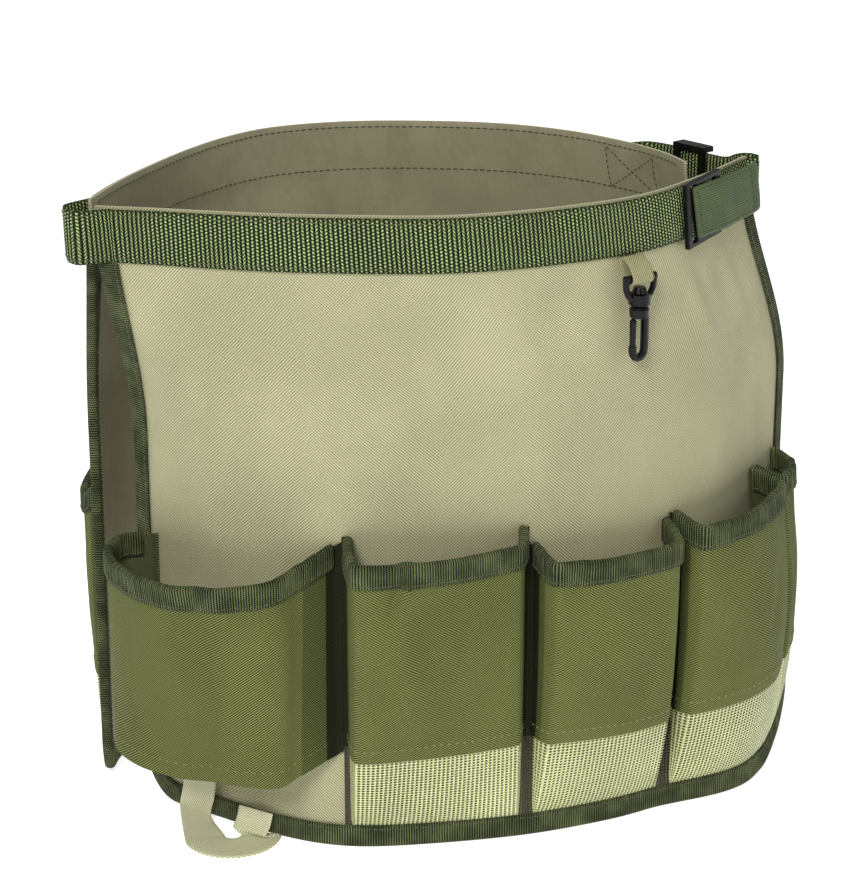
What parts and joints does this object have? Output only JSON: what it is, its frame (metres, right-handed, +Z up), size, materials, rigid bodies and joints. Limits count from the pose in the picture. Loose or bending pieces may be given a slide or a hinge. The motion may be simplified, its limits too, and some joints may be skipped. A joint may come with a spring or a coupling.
{
  "type": "bucket tool bag",
  "caption": "Open-bottomed fabric tool bag that wraps round a bucket, with outside pockets, a webbing belt with a buckle, a snap hook and a tool loop.",
  "frame": {"origin": "middle of the footprint box, on the surface that the hem stands on", "axes": "+X to the right along the front, +Y from front to back, +Z up; the front pockets face -Y and the buckle is at +X"},
  "size_m": [0.3692, 0.2509, 0.3092],
  "materials": {
    "khaki_cloth": "matt coated polyester weave, taupe coating inside",
    "olive_cloth": "matt polyester weave",
    "binding_tape": "ribbed grosgrain tape",
    "open_mesh": "satin coated open mesh",
    "webbing": "ribbed woven webbing",
    "fastening_pad": "smooth fastening tape",
    "khaki_tape": "twill tape",
    "black_plastic": "moulded, glossy",
    "label_cloth": "blank printed-label cloth"
  },
  "bodies": {
    "bag": {"back_edge_tape_left": "binding_tape", "back_edge_tape_right": "binding_tape", "back_hem_tape": "binding_tape", "back_panel": "khaki_cloth", "back_pocket_1_cloth": "olive_cloth", "back_pocket_1_mesh": "open_mesh", "back_pocket_1_mouth_tape": "binding_tape", "back_pocket_2_cloth": "olive_cloth", "back_pocket_2_mesh": "open_mesh", "back_pocket_2_mouth_tape": "binding_tape", "back_pocket_3_cloth": "olive_cloth", "back_pocket_3_mesh": "open_mesh", "back_pocket_3_mouth_tape": "binding_tape", "back_pocket_4_cloth": "olive_cloth", "back_pocket_4_mesh": "open_mesh", "back_pocket_4_mouth_tape": "binding_tape", "back_pocket_5_cloth": "olive_cloth", "back_pocket_5_mesh": "open_mesh", "back_pocket_5_mouth_tape": "binding_tape", "belt_webbing": "webbing", "care_label": "label_cloth", "closure_buckle": "black_plastic", "closure_strap": "webbing", "front_edge_tape_left": "binding_tape", "front_edge_tape_right": "binding_tape", "front_hem_tape": "binding_tape", "front_panel": "khaki_cloth", "front_pocket_2_cloth": "olive_cloth", "front_pocket_2_mesh": "open_mesh", "front_pocket_2_mouth_tape": "binding_tape", "front_pocket_3_cloth": "olive_cloth", "front_pocket_3_mesh": "open_mesh", "front_pocket_3_mouth_tape": "binding_tape", "front_pocket_4_cloth": "olive_cloth", "front_pocket_4_mesh": "open_mesh", "front_pocket_4_mouth_tape": "binding_tape", "front_pocket_5_cloth": "olive_cloth", "front_pocket_5_mesh": "open_mesh", "front_pocket_5_mouth_tape": "binding_tape", "front_sleeve_pocket_cloth": "olive_cloth", "front_sleeve_pocket_mouth_tape": "binding_tape", "hook_tape_loop": "khaki_tape", "tool_loop_strap": "khaki_tape"},
    "tail": {"strap_tail": "fastening_pad"},
    "slider": {"strap_slider": "black_plastic"},
    "hook_base": {"snap_hook_base": "black_plastic"},
    "hook": {"snap_hook_body": "black_plastic"},
    "gate": {"snap_hook_gate": "black_plastic"}
  },
  "joints": [
    {"name": "strap_tail_peel", "type": "hinge", "parent": "bag", "child": "tail", "pos_m": [0.09988, -0.07899, 0.29324], "axis": [0.164, 0.0555, -0.9849], "range_deg": [0, 135]},
    {"name": "strap_slider_slide", "type": "slide", "parent": "bag", "child": "slider", "axis": [0.4472, -0.8944, 0], "range_m": [-0.004, 0.004]},
    {"name": "snap_hook_swing", "type": "hinge", "parent": "bag", "child": "hook_base", "pos_m": [0.065, -0.10315, 0.2715], "axis": [-0.9413, -0.3376, 0], "range_deg": [0, 70]},
    {"name": "snap_hook_swivel", "type": "hinge", "parent": "hook_base", "child": "hook", "pos_m": [0.065, -0.10315, 0.2715], "axis": [0, 0, 1], "continuous": true},
    {"name": "snap_hook_gate_open", "type": "hinge", "parent": "hook", "child": "gate", "pos_m": [0.0619, -0.10427, 0.2513], "axis": [0.3376, -0.9413, 0], "range_deg": [0, 18], "stiffness_Nm_per_rad": 0.002, "springref_deg": -2.86}
  ]
}
